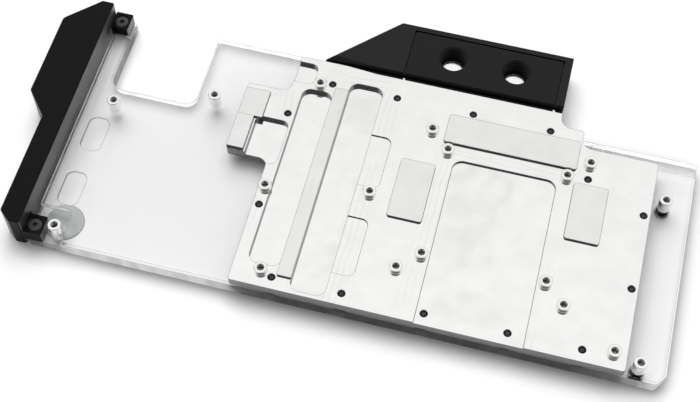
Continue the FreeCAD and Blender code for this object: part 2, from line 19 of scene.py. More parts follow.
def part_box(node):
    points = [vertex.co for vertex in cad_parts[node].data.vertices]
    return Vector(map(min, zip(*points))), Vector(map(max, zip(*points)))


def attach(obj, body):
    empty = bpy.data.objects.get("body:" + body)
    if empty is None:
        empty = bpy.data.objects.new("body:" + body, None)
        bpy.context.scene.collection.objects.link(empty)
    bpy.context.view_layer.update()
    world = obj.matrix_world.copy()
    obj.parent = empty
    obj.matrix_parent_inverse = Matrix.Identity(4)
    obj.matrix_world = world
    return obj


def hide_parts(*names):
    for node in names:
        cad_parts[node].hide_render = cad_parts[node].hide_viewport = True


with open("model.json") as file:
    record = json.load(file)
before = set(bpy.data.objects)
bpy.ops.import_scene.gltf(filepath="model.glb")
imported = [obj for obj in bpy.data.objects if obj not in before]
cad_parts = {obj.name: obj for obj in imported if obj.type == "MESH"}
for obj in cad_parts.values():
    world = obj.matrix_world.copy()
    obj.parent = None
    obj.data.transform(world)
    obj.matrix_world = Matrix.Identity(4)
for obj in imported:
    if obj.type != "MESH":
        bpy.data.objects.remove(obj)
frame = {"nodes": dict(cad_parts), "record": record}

Socket = bpy.types.NodeSocket
Tree = bpy.types.NodeTree

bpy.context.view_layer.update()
MM = 0.001
BODY = "root"
PORTS = [mount for mount in frame["record"]["mounts"] if mount["kind"] == "threaded_hole"]
WHITE = (1.0, 1.0, 1.0, 1.0)
# Points of a mesh that are closer than this, in millimetres, are one.
WELD = 0.0005
# A noise seldom leaves this range.
NOISE_RANGE = (0.3, 0.7)
# Cosine between the rounded and the true normal where the line on an edge is full, and where it ends.
EDGE_RANGE = (0.86, 0.99)

logging.basicConfig(level=logging.INFO, format="%(name)s: %(message)s")
log = logging.getLogger("cold_plate")


def linear(hex_colour: str) -> tuple[float, float, float, float]:
    """Turn an sRGB hex colour into linear light.

    Args:
        hex_colour: six hex digits after a hash sign.

    Returns:
        Red, green, blue and an alpha of 1.
    """
    parts = [int(hex_colour[i:i + 2], 16) / 255 for i in (1, 3, 5)]
    light = [p / 12.92 if p <= 0.04045 else ((p + 0.055) / 1.055) ** 2.4 for p in parts]
    return (light[0], light[1], light[2], 1.0)


def add_node(tree: Tree, kind: str, inputs: dict | None = None, **settings: object) -> bpy.types.Node:
    """Add a shader node with its settings and its inputs.

    Args:
        tree: the node tree that the node goes into.
        kind: the node's type without its leading ShaderNode.
        inputs: value, or output socket to link, for each input by name or index.
        settings: the node's own properties.

    Returns:
        The new node.
    """
    node = tree.nodes.new("ShaderNode" + kind)
    for name, value in settings.items():
        setattr(node, name, value)
    for key, value in (inputs or {}).items():
        if isinstance(value, Socket):
            tree.links.new(value, node.inputs[key])
        else:
            node.inputs[key].default_value = value
    return node


def maths(tree: Tree, operation: str, *values: Socket | float) -> Socket:
    """Add one step of arithmetic.

    Args:
        tree: the node tree that it goes into.
        operation: Blender's name of the step.
        values: the numbers, or sockets with them.

    Returns:
        A socket with the result.
    """
    return add_node(tree, "Math", dict(enumerate(values)), operation=operation).outputs[0]


def ramp(tree: Tree, value: Socket, ends: tuple[float, float], levels: tuple[Socket | float, Socket | float],
         **settings: object) -> Socket:
    """Lead over from one level to another as a value grows.

    Args:
        tree: the node tree that it goes into.
        value: the value.
        ends: the values where the change starts and ends.
        levels: the levels there, which also hold beyond them.
        settings: the node's own properties.

    Returns:
        A socket with the level.
    """
    return add_node(tree, "MapRange", {
        0: value, 1: ends[0], 2: ends[1], 3: levels[0], 4: levels[1]}, **settings).outputs[0]


def mix(tree: Tree, share: Socket, first: Socket | float, second: Socket | float) -> Socket:
    """Mix two numbers.

    Args:
        tree: the node tree that it goes into.
        share: the share of the second one.
        first: the first number.
        second: the second number.

    Returns:
        A socket with the mixed number.
    """
    return add_node(tree, "Mix", {0: share, 2: first, 3: second}).outputs[0]


def blend(tree: Tree, share: Socket | float, first: Socket | tuple[float, ...],
          second: Socket | tuple[float, ...], **settings: object) -> Socket:
    """Mix two colours.

    Args:
        tree: the node tree that it goes into.
        share: the share of the second one.
        first: the first colour.
        second: the second colour.
        settings: the node's own properties.

    Returns:
        A socket with the mixed colour.
    """
    return add_node(tree, "Mix", {0: share, 6: first, 7: second}, data_type="RGBA", **settings).outputs[2]


@dataclass(frozen=True)
class Canvas:
    """The nodes of one material, on which its finish is drawn.

    Attributes:
        tree: the material's node tree.
        shader: its Principled shader.
        output: its output node.
        place: the surface point, in millimetres.
    """

    tree: Tree
    shader: bpy.types.Node
    output: bpy.types.Node
    place: Socket

    def facing(self) -> bpy.types.NodeOutputs:
        """Split the way that a face looks into its X, Y and Z parts."""
        normal = add_node(self.tree, "NewGeometry").outputs["True Normal"]
        return add_node(self.tree, "SeparateXYZ", {0: normal}).outputs

    def walls(self, rise: float) -> Socket:
        """Find the walls of a piece.

        Args:
            rise: greatest upright part of the normal of a wall, from 0 to 1.

        Returns:
            A socket that is 1 on the walls and 0 on the level faces.
        """
        level = maths(self.tree, "ABSOLUTE", self.facing()[2])
        return maths(self.tree, "LESS_THAN", level, rise)

    def below_top(self, wall: float = 0.3, top: float = 0.6) -> Socket:
        """Find all but the top faces, with a soft change over chamfers.

        Args:
            wall: greatest upright part of the normal of a wall.
            top: least upright part of the normal of a top face.

        Returns:
            A socket that is 1 on walls and undersides, and 0 on top.
        """
        return ramp(self.tree, self.facing()[2], (wall, top), (1.0, 0.0))

    def painted_edge_lines(self, width: float, tone: float) -> Socket:
        """Find the broken edges of a piece, for lines of painted shade or painted highlight.

        Args:
            width: width of the edges, in millimetres.
            tone: value on the edges.

        Returns:
            A socket that is 1 away from the edges.
        """
        normal = add_node(self.tree, "NewGeometry").outputs["True Normal"]
        bent = add_node(self.tree, "Bevel", {"Radius": width * MM}, samples=6).outputs[0]
        alike = add_node(self.tree, "VectorMath", {
            0: bent, 1: normal}, operation="DOT_PRODUCT").outputs["Value"]
        return ramp(self.tree, alike, EDGE_RANGE, (tone, 1.0))

    def cutter_lines(self, pitch: float, detail: float, squeeze: tuple[float, float, float]) -> Socket:
        """Draw a noise that is long along some axes, as the lines of a cutter are.

        Args:
            pitch: size of the noise across the lines, in millimetres.
            detail: how many finer noises are laid over it.
            squeeze: factor for each axis, small along the lines.

        Returns:
            A socket with the noise.
        """
        place = add_node(self.tree, "Mapping", {0: self.place, "Scale": squeeze}).outputs[0]
        return add_node(self.tree, "TexNoise", {
            "Vector": place, "Scale": 1 / pitch, "Detail": detail}).outputs[0]

    def noise(self, size: float, detail: float) -> Socket:
        """Draw a noise that is the same along all axes.

        Args:
            size: size of its patches, in millimetres.
            detail: how many finer noises are laid over it.

        Returns:
            A socket with the noise.
        """
        return add_node(self.tree, "TexNoise", {
            "Vector": self.place, "Scale": 1 / size, "Detail": detail}).outputs[0]

    def vary(self, noise: Socket, low: float, high: float) -> Socket:
        """Let a value follow a noise.

        Args:
            noise: the noise.
            low: the value where the noise is lowest.
            high: the value where it is highest.

        Returns:
            A socket with the value.
        """
        return ramp(self.tree, noise, NOISE_RANGE, (low, high))

    def shade(self, colour: Socket | tuple[float, ...], *tones: Socket) -> Socket:
        """Make a colour darker or lighter.

        Args:
            colour: the colour.
            tones: what it is multiplied by.

        Returns:
            A socket with the new colour.
        """
        for tone in tones:
            colour = blend(self.tree, 1.0, colour, tone, blend_type="MULTIPLY")
        return colour

    def relief(self, edge: float, *layers: tuple[Socket, float | Socket, float]) -> None:
        """Give the surface its rounded edges and its fine relief.

        Args:
            edge: radius that the edges are shaded with, in millimetres, or 0 for sharp ones.
            layers: height, strength and depth in millimetres of each pattern, the coarsest first.
        """
        normal = add_node(self.tree, "Bevel", {"Radius": edge * MM}, samples=4).outputs[0] if edge else None
        for height, strength, depth in layers:
            inputs = {"Height": height, "Strength": strength, "Distance": depth * MM}
            if normal is not None:
                inputs["Normal"] = normal
            normal = add_node(self.tree, "Bump", inputs).outputs[0]
        self.tree.links.new(normal, self.shader.inputs["Normal"])

    def connect(self, socket: Socket, name: str) -> None:
        """Link a socket to the input of the shader that has a name."""
        self.tree.links.new(socket, self.shader.inputs[name])


@dataclass(frozen=True)
class Finish:
    """A finish with one colour and one roughness, on which its own class draws the pattern.

    Attributes:
        name: the material's name, after the real finish.
        colour: sRGB hex colour.
        roughness: 0 for a mirror, 1 for chalk.
    """

    name: str
    colour: str
    roughness: float

    def material(self) -> bpy.types.Material:
        """Build the material, or find the one that was built before."""
        known = bpy.data.materials.get(self.name)
        if known:
            return known
        made = bpy.data.materials.new(self.name)
        made.use_nodes = True
        tree = made.node_tree
        tree.nodes.clear()
        shader = add_node(tree, "BsdfPrincipled", {
            "Base Color": linear(self.colour), "Roughness": self.roughness})
        output = add_node(tree, "OutputMaterial", {"Surface": shader.outputs[0]})
        place = add_node(tree, "TexCoord").outputs["Object"]
        millimetres = add_node(tree, "VectorMath", {0: place, "Scale": 1 / MM}, operation="SCALE").outputs[0]
        self.draw(Canvas(tree, shader, output, millimetres))
        return made

    def draw(self, canvas: Canvas) -> None:
        """Draw the pattern of the finish.

        Args:
            canvas: the nodes of the material.
        """
        raise NotImplementedError


@dataclass(frozen=True)
class CastClear(Finish):
    """Cast clear sheet, milled and then polished: glassy faces, and walls that glow a little from inside.

    Attributes:
        refraction: index of refraction.
        wall_rise: greatest upright part of the normal of a wall.
        line_pitch: spacing of the cutter lines on the walls. Real ones are 0.05 mm apart and are drawn
            coarser.
        line_bump: strength and depth of those lines.
        wave_size: size of the slight waves that polishing leaves.
        wave_bump: strength and depth of those waves.
        streak_size: width of the streaks in which the walls glow more or less.
        streak_range: range of the noise that the streaks follow.
        wall_roughness: roughness of the milled walls.
        wall_glow: share of the light that the walls spread instead of passing it straight.
        glow_change: how much that share changes from streak to streak.
        wall_skin: share of the spread light that the walls throw back to the side that it came from.
        wall_colour: colour of what the walls spread.
        level_shadow: what a level face leaves of the light that crosses it on the way to the floor.
        wall_shadow: what a wall leaves of it.
        line_width: width of the broken edges.
        painted_edge_share: how much of a broken edge is painted shade.
        painted_edge_colour: colour of that painted shade.
    """

    refraction: float = 1.49
    wall_rise: float = 0.5
    line_pitch: float = 0.7
    line_bump: tuple[float, float] = (0.12, 0.1)
    wave_size: float = 14.0
    wave_bump: tuple[float, float] = (0.25, 0.4)
    streak_size: float = 6.0
    streak_range: tuple[float, float] = (0.35, 0.65)
    wall_roughness: float = 0.06
    wall_glow: float = 0.8
    glow_change: float = 0.1
    wall_skin: float = 0.04
    wall_colour: str = "#fbfbfb"
    level_shadow: str = "#f4f4f4"
    wall_shadow: str = "#101010"
    line_width: float = 0.4
    painted_edge_share: float = 0.85
    painted_edge_colour: str = "#484848"

    def draw(self, canvas: Canvas) -> None:
        """Clear body with wavy polish, lines on the walls and painted shade on the broken edges.

        Args:
            canvas: the nodes of the material.
        """
        tree, shader = canvas.tree, canvas.shader
        shader.inputs["IOR"].default_value = self.refraction
        shader.inputs["Transmission Weight"].default_value = 1.0
        wall = canvas.walls(self.wall_rise)
        rough = mix(tree, wall, self.roughness, self.wall_roughness)
        canvas.connect(rough, "Roughness")
        waves = canvas.noise(self.wave_size, detail=1.0)
        lines = canvas.cutter_lines(self.line_pitch, detail=2.0, squeeze=(1.0, 1.0, 0.06))
        strength, depth = self.line_bump
        on_walls = maths(tree, "MULTIPLY", wall, strength)
        canvas.relief(0.0, (waves, *self.wave_bump), (lines, on_walls, depth))

        streaks = canvas.cutter_lines(self.streak_size, detail=1.0, squeeze=(1.0, 1.0, 0.0))
        glow = (self.wall_glow - self.glow_change, self.wall_glow + self.glow_change)
        spread = maths(tree, "MULTIPLY", wall, ramp(tree, streaks, self.streak_range, glow))
        inner = add_node(tree, "BsdfTranslucent", {0: linear(self.wall_colour)}).outputs[0]
        outer = add_node(tree, "BsdfDiffuse", {0: linear(self.wall_colour)}).outputs[0]
        milky = add_node(tree, "MixShader", {0: self.wall_skin, 1: inner, 2: outer}).outputs[0]
        glowing = add_node(tree, "MixShader", {0: spread, 1: shader.outputs[0], 2: milky}).outputs[0]

        # The broken edges get a grey diffuse line of painted shade.
        edge = canvas.painted_edge_lines(self.line_width, 0.0)
        dull = ramp(tree, edge, (0.0, 1.0), (self.painted_edge_share, 0.0))
        chamfer = add_node(tree, "BsdfDiffuse", {0: linear(self.painted_edge_colour)}).outputs[0]
        body = add_node(tree, "MixShader", {0: dull, 1: glowing, 2: chamfer}).outputs[0]

        # Light crosses the level faces to the floor, and the walls hold most of it back.
        left = blend(tree, wall, linear(self.level_shadow), linear(self.wall_shadow))
        through = add_node(tree, "BsdfTransparent", {0: left}).outputs[0]
        shadow_ray = add_node(tree, "LightPath").outputs["Is Shadow Ray"]
        mixed = add_node(tree, "MixShader", {0: shadow_ray, 1: body, 2: through}).outputs[0]
        tree.links.new(mixed, canvas.output.inputs["Surface"])


@dataclass(frozen=True)
class Rectangle:
    """A rectangle seen from above, with its sides along X and Y.

    Attributes:
        x: place of its middle along X.
        y: place of its middle along Y.
        half_x: half its side along X.
        half_y: half its side along Y.
    """

    x: float
    y: float
    half_x: float
    half_y: float

    def past_sides(self, tree: Tree, parts: bpy.types.NodeOutputs) -> list[Socket]:
        """Measure how far a point lies past the sides.

        Args:
            tree: the material's node tree.
            parts: X, Y and Z of the surface point, in millimetres.

        Returns:
            Two sockets, for X and Y, that are below 0 between the sides.
        """
        past = []
        for part, middle, half in ((parts[0], self.x, self.half_x), (parts[1], self.y, self.half_y)):
            away = maths(tree, "ABSOLUTE", maths(tree, "SUBTRACT", part, middle))
            past.append(maths(tree, "SUBTRACT", away, half))
        return past


@dataclass(frozen=True)
class BrightNickel(Finish):
    """Nickel plated on milled copper: a white mirror that keeps the cutter's laps round the plate's edge.

    Attributes:
        plate: the rectangle whose edge the laps follow.
        pockets: the pockets and pads that the rounded paths of the cutter run round.
        wall_rise: greatest upright part of the normal of a wall.
        lap_pitch: step from one lap of the cutter to the next.
        lap_corner: how much the laps cut their corners.
        lap_drift: how far the laps wander.
        lap_bump: strength and depth of the laps.
        feed_pitch: spacing of the cutter's feed marks. Real ones are 0.1 mm apart and are drawn coarser.
        feed_bump: strength and depth of those marks.
        edge_radius: radius that the edges are shaded with.
        cloud_size: size of the faint clouds that plating leaves.
        cloud_tone: how dark the darkest of them is, as a share of the face.
        cloud_gloss: least and greatest roughness in them, as shares of the face's.
        wall_colour: colour of the walls, which the side of the cutter leaves duller, and darker as painted
            shade.
        wall_roughness: roughness of the walls.
        pad_level: height above which a level face is a raised pad.
        pad_colour: colour of the raised pads, which are milled in another pass.
        line_width: width of the fine broken edge along every corner of the plate, drawn as a line of painted
            shade.
        painted_line_tone: how dark that painted shade is, as a share of the face.
        arc_pitch: step between the rounded paths of the cutter.
        arc_drift: how far those paths wander.
        arc_blend: how much the paths round two pockets blend where they meet.
        arc_gap: share of a step that stays without a mark, from -1 for none of it to 1.
        arc_tone: how dark the faint marks between those paths are.
        arc_reach: how far from a pocket they start to fade, and where they end.
        patch_size: size of the patches in which those marks show.
        patch_range: range of the noise over which a patch sets in.
        drift_size: size of the patches in which the laps wander, and of those in which the arcs do.
    """

    plate: Rectangle
    pockets: tuple[Rectangle, ...]
    wall_rise: float = 0.9
    lap_pitch: float = 5.2
    lap_corner: float = 16.0
    lap_drift: float = 2.4
    lap_bump: tuple[float, float] = (0.10, 0.05)
    feed_pitch: float = 0.6
    feed_bump: tuple[float, float] = (0.10, 0.03)
    edge_radius: float = 0.12
    cloud_size: float = 9.0
    cloud_tone: float = 0.94
    cloud_gloss: tuple[float, float] = (0.8, 1.3)
    wall_colour: str = "#8a8a8a"
    wall_roughness: float = 0.22
    pad_level: float = 12.2
    pad_colour: str = "#f0f0ef"
    line_width: float = 0.45
    painted_line_tone: float = 0.12
    arc_pitch: float = 2.6
    arc_drift: float = 5.0
    arc_blend: float = 1.0
    arc_gap: float = 0.2
    arc_tone: float = 0.93
    arc_reach: tuple[float, float] = (3.0, 14.0)
    patch_size: float = 24.0
    patch_range: tuple[float, float] = (0.46, 0.6)
    drift_size: tuple[float, float] = (22.0, 20.0)

    def draw(self, canvas: Canvas) -> None:
        """White mirror, walls duller and darker in painted shade, greyer pads, laps of the cutter and its feed
        marks.

        Args:
            canvas: the nodes of the material.
        """
        tree, place = canvas.tree, canvas.place
        canvas.shader.inputs["Metallic"].default_value = 1.0
        wall = canvas.walls(self.wall_rise)
        parts = add_node(tree, "SeparateXYZ", {0: place}).outputs
        pad = maths(tree, "GREATER_THAN", parts[2], self.pad_level)
        cloud = canvas.noise(self.cloud_size, detail=3.0)

        face = blend(tree, pad, linear(self.colour), linear(self.pad_colour))
        marked = canvas.shade(face, canvas.vary(cloud, self.cloud_tone, 1.0), self.arcs(canvas, parts))
        # The walls take a darker colour, partly painted shade.
        plain = blend(tree, wall, marked, linear(self.wall_colour))
        # Every corner of the plate gets a fine line of painted shade.
        lined = canvas.shade(plain, canvas.painted_edge_lines(self.line_width, self.painted_line_tone))
        canvas.connect(lined, "Base Color")

        flat_rough = canvas.vary(cloud, *(self.roughness * share for share in self.cloud_gloss))
        rough = mix(tree, wall, flat_rough, self.wall_roughness)
        canvas.connect(rough, "Roughness")

        past = self.plate.past_sides(tree, parts)
        inward = maths(tree, "SMOOTH_MAX", past[0], past[1], self.lap_corner)
        laps = self.ripples(canvas, inward, self.lap_pitch, self.drift_size[0], self.lap_drift)
        feed = canvas.cutter_lines(self.feed_pitch, detail=3.0, squeeze=(0.25, 1.0, 1.0))
        canvas.relief(self.edge_radius, (laps, *self.lap_bump), (feed, *self.feed_bump))

    def ripples(self, canvas: Canvas, distance: Socket, pitch: float,
                drift_size: float, drift: float) -> Socket:
        """Draw waves along a distance, as the steps between the paths of a cutter.

        Args:
            canvas: the nodes of the material.
            distance: the distance, in millimetres.
            pitch: length of one wave.
            drift_size: size of the patches in which the waves shift.
            drift: how far they shift.

        Returns:
            A socket from -1 to 1.
        """
        tree = canvas.tree
        shift = canvas.noise(drift_size, detail=1.0)
        path = maths(tree, "MULTIPLY_ADD", shift, drift, distance)
        turn = maths(tree, "MULTIPLY", path, 2 * math.pi / pitch)
        return maths(tree, "SINE", turn)

    def arcs(self, canvas: Canvas, parts: bpy.types.NodeOutputs) -> Socket:
        """Draw the rounded paths of the cutter round the pockets and pads.

        Args:
            canvas: the nodes of the material.
            parts: X, Y and Z of the surface point, in millimetres.

        Returns:
            A tone that is 1 between the marks.
        """
        tree = canvas.tree
        nearest = None
        for pocket in self.pockets:
            outside = [maths(tree, "MAXIMUM", past, 0.0) for past in pocket.past_sides(tree, parts)]
            across = add_node(tree, "CombineXYZ", {0: outside[0], 1: outside[1]}).outputs[0]
            away = add_node(tree, "VectorMath", {0: across}, operation="LENGTH").outputs["Value"]
            nearest = away if nearest is None else maths(tree, "SMOOTH_MIN", nearest, away, self.arc_blend)
        wave = self.ripples(canvas, nearest, self.arc_pitch, self.drift_size[1], self.arc_drift)
        mark = ramp(tree, wave, (self.arc_gap, 1.0), (0.0, 1.0))
        patch = canvas.noise(self.patch_size, detail=1.0)
        here = ramp(tree, patch, self.patch_range, (0.0, 1.0))
        close = ramp(tree, nearest, self.arc_reach, (1.0, 0.0))
        amount = maths(tree, "MULTIPLY", maths(tree, "MULTIPLY", mark, here), close)
        return ramp(tree, amount, (0.0, 1.0), (1.0, self.arc_tone))


@dataclass(frozen=True)
class TurnedMetal(Finish):
    """Bar stock turned on a lathe: bright, with fine rings round its axis.

    Attributes:
        ring_pitch: spacing of the rings. Real ones are 0.05 mm apart and are drawn coarser.
        ring_bump: strength and depth of the rings.
        ring_tone: how dark the darkest of them is, as a share of the face.
        edge_radius: radius that the edges are shaded with.
        cloud_size: size of the patches in which the gloss changes.
        cloud_gloss: least and greatest roughness in them, as shares of the face's.
        line_width: width of the broken edges, drawn as lines of painted shade.
        painted_line_tone: how dark that painted shade is, as a share of the face.
    """

    ring_pitch: float = 0.3
    ring_bump: tuple[float, float] = (0.3, 0.02)
    ring_tone: float = 0.9
    edge_radius: float = 0.1
    cloud_size: float = 1.6
    cloud_gloss: tuple[float, float] = (0.7, 1.4)
    line_width: float = 0.3
    painted_line_tone: float = 0.12

    def draw(self, canvas: Canvas) -> None:
        """Rings up the sides, and a slight cloud over the gloss.

        Args:
            canvas: the nodes of the material.
        """
        canvas.shader.inputs["Metallic"].default_value = 1.0
        rings = canvas.cutter_lines(self.ring_pitch, detail=2.0, squeeze=(0.04, 0.04, 1.0))
        cloud = canvas.noise(self.cloud_size, detail=2.0)
        rough = canvas.vary(cloud, *(self.roughness * share for share in self.cloud_gloss))
        canvas.connect(rough, "Roughness")
        ring = canvas.vary(rings, self.ring_tone, 1.0)
        # The broken edges get lines of painted shade.
        edge = canvas.painted_edge_lines(self.line_width, self.painted_line_tone)
        canvas.connect(canvas.shade(linear(self.colour), ring, edge), "Base Color")
        canvas.relief(self.edge_radius, (rings, *self.ring_bump))


@dataclass(frozen=True)
class MilledBlack(Finish):
    """Black acetal milled from the sheet: dark grey and satin, with level cutter lines on its walls.

    Attributes:
        wall_colour: colour of the walls.
        line_pitch: spacing of the cutter lines. Real ones are 0.05 mm apart and are drawn coarser.
        line_bump: strength and depth of those lines.
        grain_size: size of the grain of the faces. Real grain is 0.1 mm and is drawn coarser.
        grain_bump: strength and depth of the grain.
        grain_tone: darkest and lightest tone in the grain.
        grain_gloss: how much the roughness changes with the grain.
        edge_radius: radius that the edges are shaded with.
        shine: how strongly the face reflects, which cutting lowers.
        line_width: width of the broken edges, drawn as lines of painted highlight.
        painted_line_tone: how much lighter than the face that painted highlight is.
    """

    wall_colour: str = "#0e0e0f"
    line_pitch: float = 0.45
    line_bump: tuple[float, float] = (0.35, 0.05)
    grain_size: float = 0.5
    grain_bump: tuple[float, float] = (0.2, 0.02)
    grain_tone: tuple[float, float] = (0.85, 1.1)
    grain_gloss: float = 0.06
    edge_radius: float = 0.15
    shine: float = 0.2
    line_width: float = 0.25
    painted_line_tone: float = 5.0

    def draw(self, canvas: Canvas) -> None:
        """Satin faces with a fine grain, and walls with level lines.

        Args:
            canvas: the nodes of the material.
        """
        tree = canvas.tree
        canvas.shader.inputs["Specular IOR Level"].default_value = self.shine
        lines = canvas.cutter_lines(self.line_pitch, detail=2.0, squeeze=(0.03, 0.03, 1.0))
        grain = canvas.noise(self.grain_size, detail=3.0)
        face = canvas.shade(linear(self.colour), canvas.vary(grain, *self.grain_tone))
        plain = blend(tree, canvas.below_top(), face, linear(self.wall_colour))
        # The broken edges get lines of painted highlight.
        edge = canvas.painted_edge_lines(self.line_width, self.painted_line_tone)
        canvas.connect(canvas.shade(plain, edge), "Base Color")
        rough = canvas.vary(grain, self.roughness - self.grain_gloss, self.roughness + self.grain_gloss)
        canvas.connect(rough, "Roughness")
        canvas.relief(self.edge_radius, (lines, *self.line_bump), (grain, *self.grain_bump))


@dataclass(frozen=True)
class BlastedBlack(Finish):
    """Aluminium blasted with fine beads and anodised black: deep black with a soft sheen.

    Attributes:
        bead_size: size of the dents. Real ones are 0.1 mm and are drawn coarser.
        bead_bump: strength and depth of the dents.
        bead_tone: tone in the middle of a dent and between the dents.
        bead_edge: distance from the middle at which a dent ends, in sizes of a dent.
        edge_radius: radius that the edges are shaded with.
        cloud_size: size of the patches in which the gloss changes.
        cloud_gloss: how much the roughness changes in them.
        shine: how strongly the top reflects, which the dye in the coat lowers.
        wall_shine: how strongly the walls reflect, kept low as painted shade.
        inner_painted_sheen: how strongly the walls on the +X side reflect, raised as a painted sheen.
        inner_roughness: roughness of those walls.
        inner_facing: X part of a wall's normal where that sets in, and where it is full.
    """

    bead_size: float = 0.35
    bead_bump: tuple[float, float] = (0.25, 0.04)
    bead_tone: tuple[float, float] = (0.85, 1.15)
    bead_edge: float = 0.8
    edge_radius: float = 0.2
    cloud_size: float = 12.0
    cloud_gloss: float = 0.05
    shine: float = 0.1
    wall_shine: float = 0.05
    inner_painted_sheen: float = 2.2
    inner_roughness: float = 0.42
    inner_facing: tuple[float, float] = (0.6, 0.8)

    def draw(self, canvas: Canvas) -> None:
        """Fine dents all over, a slight change in gloss, and a painted sheen on the walls of the +X side.

        Args:
            canvas: the nodes of the material.
        """
        tree = canvas.tree
        inside = ramp(tree, canvas.facing()[0], self.inner_facing, (0.0, 1.0))
        # Painted sheen lifts the +X walls, and painted shade keeps the other walls dull.
        side = mix(tree, inside, self.wall_shine, self.inner_painted_sheen)
        shine = mix(tree, canvas.below_top(), self.shine, side)
        canvas.connect(shine, "Specular IOR Level")
        dents = add_node(tree, "TexVoronoi", {
            "Vector": canvas.place, "Scale": 1 / self.bead_size}).outputs["Distance"]
        cloud = canvas.noise(self.cloud_size, detail=3.0)
        even = canvas.vary(cloud, self.roughness - self.cloud_gloss, self.roughness + self.cloud_gloss)
        rough = mix(tree, inside, even, self.inner_roughness)
        canvas.connect(rough, "Roughness")
        tone = ramp(tree, dents, (0.0, self.bead_edge), self.bead_tone)
        canvas.connect(canvas.shade(linear(self.colour), tone), "Base Color")
        canvas.relief(self.edge_radius, (dents, *self.bead_bump))


@dataclass(frozen=True)
class PlainGrain(Finish):
    """A moulded, rolled or coated surface with an even fine grain.

    Attributes:
        grain_size: size of the grain.
        grain_depth: how deep the grain looks.
        grain_strength: how strongly its depth shows, from 0 to 1.
        metallic: 1 for a metal.
        spread: how much the colour varies from grain to grain.
        gloss_spread: how much the roughness varies, as a share of it.
    """

    grain_size: float = 0.6
    grain_depth: float = 0.03
    grain_strength: float = 0.3
    metallic: float = 0.0
    spread: float = 0.12
    gloss_spread: float = 0.15

    def draw(self, canvas: Canvas) -> None:
        """Grain in colour, gloss and height.

        Args:
            canvas: the nodes of the material.
        """
        canvas.shader.inputs["Metallic"].default_value = self.metallic
        grain = canvas.noise(self.grain_size, detail=3.0)
        tone = canvas.vary(grain, 1 - self.spread, 1.0)
        canvas.connect(canvas.shade(linear(self.colour), tone), "Base Color")
        low, high = self.roughness * (1 - self.gloss_spread), self.roughness * (1 + self.gloss_spread)
        canvas.connect(canvas.vary(grain, low, min(1.0, high)), "Roughness")
        canvas.relief(0.0, (grain, self.grain_strength, self.grain_depth))


class Finishes(Enum):
    """Every finish but the plate's, which takes its laps from the plate's own size."""

    # Polish makes the milled sheet clear, with milky walls.
    CLEAR = CastClear("cast clear sheet, milled and polished", "#f3f3f3", 0.0)
    # The cutter leaves acetal satin and a little grey.
    BLACK_BLOCK = MilledBlack("black acetal, milled", "#161617", 0.45)
    BLACK_PANEL = MilledBlack("black acetal panel, milled", "#111112", 0.5)
    # Dye in the blasted coat gives a deep black.
    BLACK_COVER = BlastedBlack("aluminium, blasted and anodised black", "#0a0a0b", 0.3)
    # ABS and rubber come dull from a textured mould.
    COVER_BASE = PlainGrain("black ABS, moulded", "#18181a", 0.6)
    RUBBER = PlainGrain("nitrile rubber, moulded", "#1a1a1b", 0.55, grain_size=0.3, grain_depth=0.02)
    # Nickel over fine turning is nearly a mirror. A cut thread is duller, and darker as painted shade in the
    # bore.
    STANDOFF = TurnedMetal("nickel on turned brass", "#fbfbf9", 0.05)
    SHADED_CUT_THREAD = TurnedMetal("cut thread, dull, in painted shade", "#b0b0ae", 0.25)
    # Steel screws are dark grey with painted shade in sockets and on end chamfers. Black oxide takes the
    # metal's gloss.
    STEEL = TurnedMetal("dark steel screw", "#4c4c4e", 0.4)
    SCREW_PAINTED_SHADE = PlainGrain("painted shade in sockets and on screw ends", "#141415", 0.5,
                              grain_size=0.25, grain_depth=0.015, spread=0.2)
    BLACK_SCREW = PlainGrain("black oxide on steel", "#2f2f31", 0.4,
                             grain_size=0.25, grain_depth=0.015, spread=0.2)
    # Rolling leaves sheet bright and even, and paint covers it matt.
    STAINLESS = PlainGrain("stainless sheet, rolled", "#b9b9b8", 0.25,
                           grain_size=0.4, grain_depth=0.01, metallic=1.0, spread=0.06)
    DISC = PlainGrain("painted disc, matt", "#d2d6d4", 0.6,
                      grain_size=0.5, grain_depth=0.01, spread=0.04)
    # The lights stand on a white board, under glossy yellow drops.
    BOARD = PlainGrain("white solder mask on glass epoxy", "#e8e9e6", 0.4,
                       grain_size=0.7, grain_depth=0.01, spread=0.04)
    CHIP = PlainGrain("phosphor in clear silicone", "#efe6a8", 0.2,
                      grain_size=0.2, grain_depth=0.01, spread=0.15)


def dress(node: str, finish: Finish) -> None:
    """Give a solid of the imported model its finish.

    Args:
        node: the solid's name.
        finish: the finish of all its faces.
    """
    mesh = frame["nodes"][node].data
    mesh.materials.clear()
    mesh.materials.append(finish.material())
    log.info("%s: %s", node, finish.name)


def stand_in(name: str, mesh: bpy.types.Mesh, node: str, *finishes: Finish) -> None:
    """Put a new piece in the place of a solid.

    Args:
        name: the piece's name.
        mesh: its mesh, without materials.
        node: the solid's name.
        finishes: its finishes, in the order of the faces' material numbers.
    """
    for finish in finishes:
        mesh.materials.append(finish.material())
    piece = bpy.data.objects.new(name, mesh)
    bpy.context.scene.collection.objects.link(piece)
    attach(piece, BODY)
    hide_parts(node)
    log.info("%s: %d faces, %s", name, len(mesh.polygons), finishes[0].name)


def sharpen(mesh: bpy.types.Mesh, angle: float = 32.0) -> None:
    """Shade a mesh smooth, with every edge sharper than an angle kept hard.

    Args:
        mesh: the mesh to shade.
        angle: smallest angle of a hard edge, in degrees.
    """
    form = bmesh.new()
    form.from_mesh(mesh)
    for edge in form.edges:
        edge.smooth = len(edge.link_faces) == 2 and edge.calc_face_angle() < math.radians(angle)
    for face in form.faces:
        face.smooth = True
    form.to_mesh(mesh)
    form.free()


@dataclass
class ClearBody:
    """The clear body and the blank disc let into its outer face."""

    def build(self) -> None:
        """Dress the body and the disc."""
        dress("clear_body", Finishes.CLEAR.value)
        dress("badge_disc", Finishes.DISC.value)


